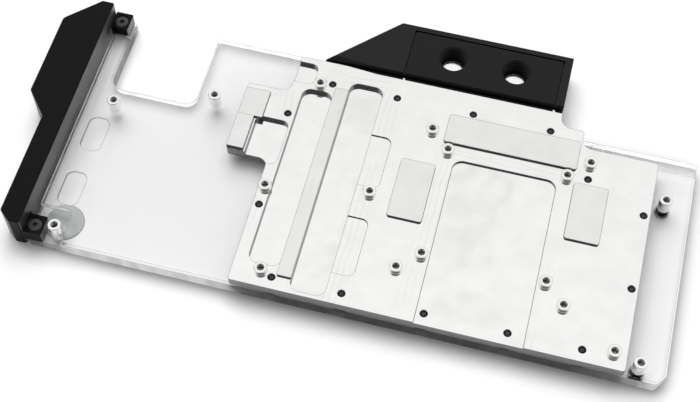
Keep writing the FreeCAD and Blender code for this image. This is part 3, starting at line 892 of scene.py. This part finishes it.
@dataclass
class NickelPlate:
    """The metal plate, the seal under it and the sheet that spreads the coolant.

    Attributes:
        tab: length of the tab at the plate's left end, which the laps leave out.
        long_pad: the raised pad beside the processor recess.
        left_pocket: the long pocket left of the bar.
        right_pocket: the long pocket right of the bar.
        recess: the recess for the processor.
    """

    tab: float = 19.4
    long_pad: Rectangle = Rectangle(65.95, 23.1, 29.8, 7.4)
    left_pocket: Rectangle = Rectangle(-24.25, -17.2, 7.0, 45.6)
    right_pocket: Rectangle = Rectangle(-3.25, -17.4, 7.7, 54.1)
    recess: Rectangle = Rectangle(65.85, -32.6, 23.0, 40.7)

    def build(self) -> None:
        """Dress the plate and what it holds."""
        low, high = (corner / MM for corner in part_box("cold_plate"))
        plate = Rectangle((low.x + self.tab + high.x) / 2, (low.y + high.y) / 2,
                          (high.x - low.x - self.tab) / 2, (high.y - low.y) / 2)
        pockets = (self.long_pad, self.left_pocket, self.right_pocket, self.recess)
        dress("cold_plate", BrightNickel("nickel on milled copper", "#fafaf9", 0.05, plate, pockets))
        dress("jet_plate", Finishes.STAINLESS.value)
        dress("main_o_ring", Finishes.RUBBER.value)


@dataclass(frozen=True)
class Ring:
    """One ring of points of a turned form.

    Attributes:
        radius: its radius, or half the width over the flats of a hexagon, in millimetres.
        height: its height in millimetres.
        hexagon: whether it is a hexagon.
        inner: whether the band to the next ring is in painted shade, as in a bore, a socket or a screw's end
            chamfer.
    """

    radius: float
    height: float
    hexagon: bool = False
    inner: bool = False

    def reach(self, angle: float) -> float:
        """Find the distance from the axis to the ring.

        Args:
            angle: angle round the axis, in radians.

        Returns:
            The distance in millimetres.
        """
        if not self.hexagon:
            return self.radius
        beside = angle % (math.pi / 3) - math.pi / 6
        return self.radius / math.cos(beside)


class TurnedPiece:
    """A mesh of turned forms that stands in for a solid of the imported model.

    Args:
        node: the solid's name.
        steps: points round one turn.
    """

    def __init__(self, node: str, steps: int = 60) -> None:
        """Start with an empty mesh."""
        self.node = node
        self.steps = steps
        self.form = bmesh.new()

    def turn(self, x: float, y: float, rings: list[Ring]) -> None:
        """Add one form, turned round an upright axis.

        Args:
            x: the axis' place along X, in millimetres.
            y: its place along Y.
            rings: its rings, from the axis round to the axis.
        """
        loops = []
        for ring in rings:
            loop = []
            for step in range(1 if ring.radius == 0.0 else self.steps):
                angle = 2 * math.pi * step / self.steps
                reach = ring.reach(angle)
                loop.append(self.form.verts.new((
                    (x + reach * math.cos(angle)) * MM,
                    (y + reach * math.sin(angle)) * MM,
                    ring.height * MM)))
            loops.append(loop)
        for ring, lower, upper in zip(rings, loops, loops[1:]):
            for step in range(self.steps):
                after = (step + 1) % self.steps
                corners = [lower[step % len(lower)], lower[after % len(lower)],
                           upper[after % len(upper)], upper[step % len(upper)]]
                face = self.form.faces.new(list(dict.fromkeys(corners)))
                face.material_index = int(ring.inner)

    def finish(self, outside: Finish, inside: Finish) -> None:
        """Make the object, and stand it in for the solid.

        Args:
            outside: finish of the outer faces.
            inside: finish of the faces inside bores and sockets and of screws' end chamfers, darker as painted
                shade.
        """
        name = f"{self.node}_turned"
        mesh = bpy.data.meshes.new(name)
        self.form.to_mesh(mesh)
        self.form.free()
        sharpen(mesh)
        stand_in(name, mesh, self.node, outside, inside)


@dataclass
class Standoffs:
    """Every threaded standoff.

    Attributes:
        radius: radius of the standoffs.
        edge: size of the broken edge round the top and the foot.
        thread_radius: radius of the thread's roots.
        thread_depth: depth of the thread.
        thread_pitch: pitch of the thread.
        flank: share of the pitch from a root of the thread to its crest.
        mouth_gap: how much wider than the thread the mouth of the bore is.
        mouth_edge: size of the broken edge round the mouth.
        drill_tip: height of the cone that the drill leaves.
        short_depth: depth of the bore in a short standoff.
        tall_depth: depth of the bore in a tall one on a stud.
        shank: radius of the shank that a short standoff is pressed in with.
        shank_length: length of that shank.
        stud: radius of the stud under a tall standoff.
        stud_length: length of that stud.
        foot_depth: depth of the lower bore in a tall one with a screw from below.
        web: what is left between that bore and the upper one.
        short: how the names of the short standoffs start.
        studded: how the names of the tall ones on studs start.
        screwed: how the names of the tall ones with a screw from below start.
    """

    radius: float = 2.9
    edge: float = 0.2
    thread_radius: float = 1.5
    thread_depth: float = 0.25
    thread_pitch: float = 0.5
    flank: float = 0.4
    mouth_gap: float = 0.05
    mouth_edge: float = 0.1
    drill_tip: float = 0.7
    short_depth: float = 3.6
    tall_depth: float = 4.6
    shank: float = 2.0
    shank_length: float = 2.4
    stud: float = 1.45
    stud_length: float = 2.6
    foot_depth: float = 3.2
    web: float = 0.05
    short: tuple[str, ...] = ("inner_standoff", "outer_standoff", "edge_standoff")
    studded: tuple[str, ...] = ("ledge_standoff", "notch_standoff")
    screwed: tuple[str, ...] = ("right_standoff",)

    def side(self, seat: float, high: float) -> list[Ring]:
        """List the rings up the side, with one beside each edge that keeps the shading of the side straight.

        Args:
            seat: height of the foot, in millimetres.
            high: height of the top.

        Returns:
            The rings from the foot to the top.
        """
        radius, edge = self.radius, self.edge
        return [Ring(radius - edge, seat), Ring(radius, seat + edge), Ring(radius, seat + 2 * edge),
                Ring(radius, high - 2 * edge), Ring(radius, high - edge),
                Ring(radius - edge, high), Ring(radius - 2 * edge, high)]

    def bore(self, high: float, end: float) -> list[Ring]:
        """List the rings from the mouth down the thread to the end of the bore.

        Args:
            high: height of the top, in millimetres.
            end: height of the bore's end.

        Returns:
            The rings from the mouth to the axis.
        """
        mouth = self.thread_radius + self.mouth_gap
        crest = self.thread_radius - self.thread_depth
        rings = [Ring(mouth + self.mouth_edge, high), Ring(mouth, high, inner=True)]
        level = high - self.mouth_edge
        while level - self.thread_pitch > end + self.drill_tip:
            rings += [Ring(self.thread_radius, level, inner=True),
                      Ring(crest, level - self.flank * self.thread_pitch, inner=True),
                      Ring(crest, level - (1 - self.flank) * self.thread_pitch, inner=True)]
            level -= self.thread_pitch
        return rings + [Ring(crest, end + self.drill_tip, inner=True), Ring(0.0, end)]

    def build(self) -> None:
        """Turn every standoff."""
        for node in sorted(frame["nodes"]):
            if not node.startswith(self.short + self.studded + self.screwed):
                continue
            low, high = (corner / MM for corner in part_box(node))
            middle = (low + high) / 2
            if node.startswith(self.short):
                seat = low.z + self.shank_length
                rings = [Ring(0.0, low.z), Ring(self.shank, low.z), Ring(self.shank, seat)]
                end = high.z - self.short_depth
            elif node.startswith(self.studded):
                seat = low.z + self.stud_length
                rings = [Ring(0.0, low.z), Ring(self.stud, low.z), Ring(self.stud, seat)]
                end = high.z - self.tall_depth
            else:
                seat = low.z
                foot = low.z + self.foot_depth
                rings = [Ring(0.0, foot, inner=True), Ring(self.thread_radius, foot, inner=True),
                         Ring(self.thread_radius, low.z)]
                end = foot + self.web
            piece = TurnedPiece(node)
            piece.turn(middle.x, middle.y, rings + self.side(seat, high.z) + self.bore(high.z, end))
            # The bores take the duller thread finish, darker as painted shade.
            piece.finish(Finishes.STANDOFF.value, Finishes.SHADED_CUT_THREAD.value)


@dataclass
class CapScrews:
    """The cap screws in the counterbores of the outer face, whose ends show in the metal plate.

    Attributes:
        nodes: the solids that they stand in for.
        head_radius: radius of the head.
        head_height: height of the head.
        head_edge: size of the broken edge round the head.
        socket: half the width of the hexagon socket.
        socket_depth: depth of the socket.
        shank: radius of the thread.
        end: size of the chamfer at the end, which is painted dark as painted shade.
    """

    nodes: tuple[str, ...] = ("plate_screws", "terminal_screws", "standoff_screws")
    head_radius: float = 2.75
    head_height: float = 1.9
    head_edge: float = 0.2
    socket: float = 1.0
    socket_depth: float = 1.2
    shank: float = 1.45
    end: float = 0.5

    def places(self, node: str) -> list[tuple[float, float, float, float]]:
        """Find the axis, foot and end of every screw in a node, from its loose parts.

        Args:
            node: the solid's name.

        Returns:
            X, Y, lowest and highest place of each screw, in millimetres.
        """
        form = bmesh.new()
        form.from_mesh(frame["nodes"][node].data)
        bmesh.ops.remove_doubles(form, verts=form.verts, dist=WELD * MM)
        left = set(form.verts)
        found = []
        while left:
            start = min(left, key=lambda vert: vert.index)
            screw, border = {start}, [start]
            while border:
                vert = border.pop()
                for edge in vert.link_edges:
                    other = edge.other_vert(vert)
                    if other not in screw:
                        screw.add(other)
                        border.append(other)
            left -= screw
            xs, ys, zs = zip(*(vert.co / MM for vert in screw))
            found.append(((min(xs) + max(xs)) / 2, (min(ys) + max(ys)) / 2, min(zs), max(zs)))
        form.free()
        return sorted(found)

    def build(self) -> None:
        """Turn every screw."""
        for node in self.nodes:
            piece = TurnedPiece(node, steps=48)
            for x, y, low, high in self.places(node):
                seat = low + self.head_height
                bottom = low + self.socket_depth
                # The socket and the end chamfer are marked inner, for their painted shade.
                piece.turn(x, y, [
                    Ring(0.0, bottom, inner=True), Ring(self.socket, bottom, hexagon=True, inner=True),
                    Ring(self.socket, low, hexagon=True), Ring(self.head_radius - self.head_edge, low),
                    Ring(self.head_radius, low + self.head_edge), Ring(self.head_radius, seat),
                    Ring(self.shank, seat), Ring(self.shank, high - self.end, inner=True),
                    Ring(self.shank - self.end, high), Ring(0.0, high)])
            piece.finish(Finishes.STEEL.value, Finishes.SCREW_PAINTED_SHADE.value)


@dataclass
class Terminal:
    """The black block with its panel, its two threaded ports and their seals.

    Attributes:
        thread_pitch: pitch of the port thread, 19 turns to the inch.
        thread_depth: depth of the thread from crest to root.
        turn_steps: points round one turn of the thread.
        pitch_steps: points along one pitch of the thread.
        crest_gap: how far the cutter's crest stands outside the plain bore.
        run_out: how far the thread stops short of the face of the panel.
        wall_end: how far the plain bore runs above the place of its mount.
        neck_gap: how far the thread stops short of the neck below it.
    """

    thread_pitch: float = 1.337
    thread_depth: float = 0.83
    turn_steps: int = 72
    pitch_steps: int = 10
    crest_gap: float = 0.03
    run_out: float = 0.35
    wall_end: float = 0.85
    neck_gap: float = 0.1

    def cutter(self, middle: Vector, radius: float, low: float, high: float) -> bpy.types.Object:
        """Make the tool that cuts one thread.

        Args:
            middle: a point on the port's axis, in metres.
            radius: radius of the plain bore, in millimetres.
            low: lower end of the thread, in millimetres.
            high: upper end of the thread, in millimetres.

        Returns:
            A closed mesh with a wavy helix round its side.
        """
        form = bmesh.new()
        rows = round((high - low) / self.thread_pitch * self.pitch_steps)
        rings = []
        for row in range(rows + 1):
            z = low + (high - low) * row / rows
            ring = []
            for step in range(self.turn_steps):
                turn = step / self.turn_steps
                wave = 0.5 - 0.5 * math.cos(2 * math.pi * (z / self.thread_pitch - turn))
                reach = (radius + self.crest_gap + self.thread_depth * wave) * MM
                angle = 2 * math.pi * turn
                ring.append(form.verts.new((
                    middle.x + reach * math.cos(angle), middle.y + reach * math.sin(angle), z * MM)))
            rings.append(ring)
        for lower, upper in zip(rings, rings[1:]):
            for step in range(self.turn_steps):
                after = (step + 1) % self.turn_steps
                form.faces.new((lower[step], lower[after], upper[after], upper[step]))
        form.faces.new(rings[0][::-1])
        form.faces.new(rings[-1])
        mesh = bpy.data.meshes.new("thread_cutter")
        form.to_mesh(mesh)
        form.free()
        made = bpy.data.objects.new("thread_cutter", mesh)
        bpy.context.scene.collection.objects.link(made)
        return made

    def threaded(self, node: str, cutters: list[bpy.types.Object], finish: Finish) -> None:
        """Stand a threaded piece in for a solid with plain bores.

        Args:
            node: the solid's name.
            cutters: the tools that cut its threads.
            finish: finish of the new piece.
        """
        blank = bpy.data.objects.new("blank", frame["nodes"][node].data.copy())
        bpy.context.scene.collection.objects.link(blank)
        form = bmesh.new()
        form.from_mesh(blank.data)
        bmesh.ops.remove_doubles(form, verts=form.verts, dist=WELD * MM)
        form.to_mesh(blank.data)
        form.free()
        for tool in cutters:
            cut = blank.modifiers.new("thread", "BOOLEAN")
            cut.operation = "DIFFERENCE"
            cut.object = tool
            cut.solver = "EXACT"
        depsgraph = bpy.context.evaluated_depsgraph_get()
        mesh = bpy.data.meshes.new_from_object(blank.evaluated_get(depsgraph))
        bpy.data.objects.remove(blank)
        sharpen(mesh)
        mesh.materials.clear()
        stand_in(f"{node}_threaded", mesh, node, finish)

    def build(self) -> None:
        """Cut the threads into the block and the panel, and dress the seals."""
        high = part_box("terminal_panel")[1].z / MM - self.run_out
        cutters = []
        for port in PORTS:
            neck = port["pos_m"][2] / MM + self.wall_end - port["dims"]["length_mm"]
            cutters.append(self.cutter(
                Vector(port["pos_m"]), port["dims"]["r_mm"], neck + self.neck_gap, high))
        self.threaded("terminal_block", cutters, Finishes.BLACK_BLOCK.value)
        self.threaded("terminal_panel", cutters, Finishes.BLACK_PANEL.value)
        for tool in cutters:
            bpy.data.objects.remove(tool)
        for node in ("inlet_o_ring", "outlet_o_ring"):
            dress(node, Finishes.RUBBER.value)


@dataclass
class LightCover:
    """The black cover over the left end, with its base, lights and screws."""

    def build(self) -> None:
        """Dress the cover and what it holds."""
        dress("light_cover", Finishes.BLACK_COVER.value)
        dress("light_cover_base", Finishes.COVER_BASE.value)
        dress("light_strip", Finishes.BOARD.value)
        dress("light_chips", Finishes.CHIP.value)
        dress("light_cover_screws", Finishes.BLACK_SCREW.value)


@dataclass(frozen=True)
class SoftLight:
    """A wide soft light far away, which mirrors and clear pieces don't show.

    Attributes:
        name: the light's name.
        way: the way from the part to the light.
        spread: how wide it looks from the part, in degrees.
        strength: its strength in watts on a square metre.
    """

    name: str
    way: tuple[float, float, float]
    spread: float
    strength: float

    def build(self) -> None:
        """Add the light to the scene."""
        light = bpy.data.lights.new(self.name, "SUN")
        light.angle = math.radians(self.spread)
        light.energy = self.strength
        lamp = bpy.data.objects.new(self.name, light)
        bpy.context.scene.collection.objects.link(lamp)
        lamp.rotation_euler = Vector(self.way).to_track_quat("Z", "Y").to_euler()
        lamp.visible_glossy = False
        lamp.visible_transmission = False
        log.info("%s: %.1f", self.name, self.strength)


@dataclass
class Studio:
    """Pale floor, white surround and one soft light.

    Attributes:
        floor_half: half the side of the floor.
        floor_drop: how far the floor lies under the part.
        floor_colour: colour of the floor.
        floor_lift: light that the floor adds where it is seen, so that it shows white round its shadows.
        contact_reach: how far from the part the tight shadow on the floor reaches.
        contact_way: the way from which the part keeps the light of that shadow.
        contact_dark: its strength, from 0 to 1.
        contact_side: the way to the right and to the front, along which the tight shadow sets in.
        contact_fade: where it sets in and where it is full, measured that way.
        painted_port_light: a painted pool of light on the floor under each port, where it is seen.
        port_reach: radius of that patch of the floor.
        ambient: level of the surround for what it lights.
        bright: level of the surround where it is seen, in mirrors and through clear pieces, low and high up.
        bright_rise: sines of the heights of those two levels.
        dim: level of the dark patch in it, where the camera stands.
        dim_way: the way to the middle of the dark patch.
        dim_reach: angles from its middle to where the patch is full and where it ends, in degrees.
        key: the soft light from behind.
    """

    floor_half: float = 2500.0
    floor_drop: float = 0.02
    floor_colour: str = "#ececec"
    floor_lift: float = 0.06
    contact_reach: float = 10.0
    contact_way: tuple[float, float, float] = (-0.72, 0.22, 0.66)
    contact_dark: float = 0.9
    contact_side: tuple[float, float, float] = (1.0, -2.0, 0.0)
    contact_fade: tuple[float, float] = (-20.0, 60.0)
    painted_port_light: float = 0.9
    port_reach: float = 8.0
    ambient: float = 0.32
    bright: tuple[float, float] = (0.90, 0.99)
    bright_rise: tuple[float, float] = (0.78, 0.93)
    dim: float = 0.16
    dim_way: tuple[float, float, float] = (0.12, -0.49, 0.86)
    dim_reach: tuple[float, float] = (20.0, 46.0)
    key: SoftLight = SoftLight("key light", (-0.18, 0.44, 0.87), 54.0, 3.15)

    def build(self) -> None:
        """Add the floor, the surround and the light."""
        self.add_floor()
        self.add_surround()
        self.key.build()
        bpy.context.scene.view_settings.view_transform = "Standard"

    def seen(self, tree: Tree) -> Socket:
        """Tell apart the rays that look from those that light.

        Args:
            tree: node tree of the floor or the surround.

        Returns:
            A socket that is 1 for rays from the camera, mirrors and clear pieces.
        """
        ray = add_node(tree, "LightPath").outputs
        looks = ray["Is Camera Ray"]
        for kind in ("Is Glossy Ray", "Is Transmission Ray"):
            looks = maths(tree, "MAXIMUM", looks, ray[kind])
        return looks

    def add_floor(self) -> None:
        """Add the floor, which keeps the part's shadow."""
        half = self.floor_half * MM
        mesh = bpy.data.meshes.new("floor")
        corners = [(-half, -half), (half, -half), (half, half), (-half, half)]
        mesh.from_pydata([(x, y, -self.floor_drop * MM) for x, y in corners], [], [(0, 1, 2, 3)])
        floor = bpy.data.objects.new("floor", mesh)
        bpy.context.scene.collection.objects.link(floor)
        made = bpy.data.materials.new("pale studio floor")
        made.use_nodes = True
        tree = made.node_tree
        tree.nodes.clear()
        place = add_node(tree, "NewGeometry").outputs["Position"]
        shadow = self.contact_shadow(tree, place)
        tint = blend(tree, 1.0, linear(self.floor_colour), shadow, blend_type="MULTIPLY")
        paint = add_node(tree, "BsdfDiffuse", {0: tint}).outputs[0]
        lift = maths(tree, "MULTIPLY", self.seen(tree), self.floor_light(tree, place))
        glow = add_node(tree, "Emission", {0: WHITE, 1: lift}).outputs[0]
        both = add_node(tree, "AddShader", {0: paint, 1: glow}).outputs[0]
        add_node(tree, "OutputMaterial", {"Surface": both})
        mesh.materials.append(made)
        log.info("floor: %.1f m square", 2 * half)

    def floor_light(self, tree: Tree, place: Socket) -> Socket:
        """Lift the whole floor a little, and paint a pool of light on it under the ports.

        Args:
            tree: node tree of the floor.
            place: the point of the floor, in metres.

        Returns:
            The light that the floor adds.
        """
        amount = self.floor_lift
        # A painted pool of light on the floor under each port.
        for port in PORTS:
            x, y, _ = port["pos_m"]
            away = add_node(tree, "VectorMath", {0: place, 1: Vector((x, y, -self.floor_drop * MM))},
                            operation="DISTANCE").outputs["Value"]
            patch = maths(tree, "LESS_THAN", away, self.port_reach * MM)
            amount = maths(tree, "MULTIPLY_ADD", patch, self.painted_port_light, amount)
        return amount

    def contact_shadow(self, tree: Tree, place: Socket) -> Socket:
        """Shade the floor close beside the part, on the side away from the key light.

        Args:
            tree: node tree of the floor.
            place: the point of the floor, in metres.

        Returns:
            A tint that is white away from the part, and white for all but the camera.
        """
        open_sky = add_node(tree, "AmbientOcclusion", {
            "Distance": self.contact_reach * MM, "Normal": Vector(self.contact_way).normalized()}, samples=16)
        along = add_node(tree, "VectorMath", {0: place, 1: Vector(self.contact_side) / MM},
                         operation="DOT_PRODUCT").outputs["Value"]
        amount = ramp(tree, along, self.contact_fade, (0.0, self.contact_dark))
        camera = add_node(tree, "LightPath").outputs["Is Camera Ray"]
        share = maths(tree, "MULTIPLY", camera, amount)
        return blend(tree, share, WHITE, open_sky.outputs["Color"])

    def add_surround(self) -> None:
        """Add the white surround, with a dark patch where the camera stands, which the camera doesn't see."""
        world = bpy.data.worlds.new("studio")
        world.use_nodes = True
        tree = world.node_tree
        tree.nodes.clear()
        way = add_node(tree, "TexCoord").outputs["Generated"]
        toward = add_node(tree, "VectorMath", {0: way, 1: Vector(self.dim_way).normalized()},
                          operation="DOT_PRODUCT").outputs["Value"]
        full, end = (math.cos(math.radians(a)) for a in self.dim_reach)
        rise = add_node(tree, "SeparateXYZ", {0: way}).outputs[2]
        bright = ramp(tree, rise, self.bright_rise, self.bright)
        level = ramp(tree, toward, (end, full), (bright, self.dim), interpolation_type="SMOOTHSTEP")
        looks = mix(tree, self.seen(tree), self.ambient, level)
        camera = add_node(tree, "LightPath").outputs["Is Camera Ray"]
        strength = mix(tree, camera, looks, 1.0)
        glow = add_node(tree, "Background", {0: WHITE, 1: strength})
        add_node(tree, "OutputWorld", {"Surface": glow.outputs[0]})
        bpy.context.scene.world = world


@dataclass
class ProductCamera:
    """Camera at the photograph's angle.

    Attributes:
        azimuth: how far it stands to the right of the part's front, in degrees.
        elevation: how far it stands above the horizon, in degrees.
        roll: how far its picture leans, in degrees.
        focal_pixels: its focal length, in pixels of a picture of picture_width.
        picture_width: width of that picture, in pixels.
        sensor: width of its sensor.
        place: where it stands.
        sight: nearest and farthest distance that it shows, in metres.
    """

    azimuth: float = 13.359
    elevation: float = 59.927
    roll: float = 1.079
    focal_pixels: float = 1329.0
    picture_width: float = 700.0
    sensor: float = 36.0
    place: tuple[float, float, float] = (70.15, -303.925, 508.3)
    sight: tuple[float, float] = (0.01, 20.0)

    def build(self) -> None:
        """Add the camera and make it the scene's."""
        side, rise, lean = (math.radians(a) for a in (self.azimuth, self.elevation, self.roll))
        back = Vector((math.sin(side) * math.cos(rise), -math.cos(side) * math.cos(rise), math.sin(rise)))
        right = Vector((math.cos(side), math.sin(side), 0.0))
        up = back.cross(right)
        across = right * math.cos(lean) + up * math.sin(lean)
        upward = up * math.cos(lean) - right * math.sin(lean)
        lens = bpy.data.cameras.new("product camera")
        lens.sensor_fit = "HORIZONTAL"
        lens.sensor_width = self.sensor
        lens.lens = self.focal_pixels / self.picture_width * self.sensor
        lens.clip_start, lens.clip_end = self.sight
        camera = bpy.data.objects.new("product camera", lens)
        bpy.context.scene.collection.objects.link(camera)
        turn = Matrix((across, upward, back)).transposed().to_4x4()
        camera.matrix_world = Matrix.Translation(Vector(self.place) * MM) @ turn
        bpy.context.scene.camera = camera
        log.info("camera: %.1f mm lens", lens.lens)


def main() -> None:
    """Build the whole scene."""
    ProductCamera().build()
    Studio().build()
    ClearBody().build()
    NickelPlate().build()
    Standoffs().build()
    CapScrews().build()
    Terminal().build()
    LightCover().build()


if __name__ == "__main__":
    main()
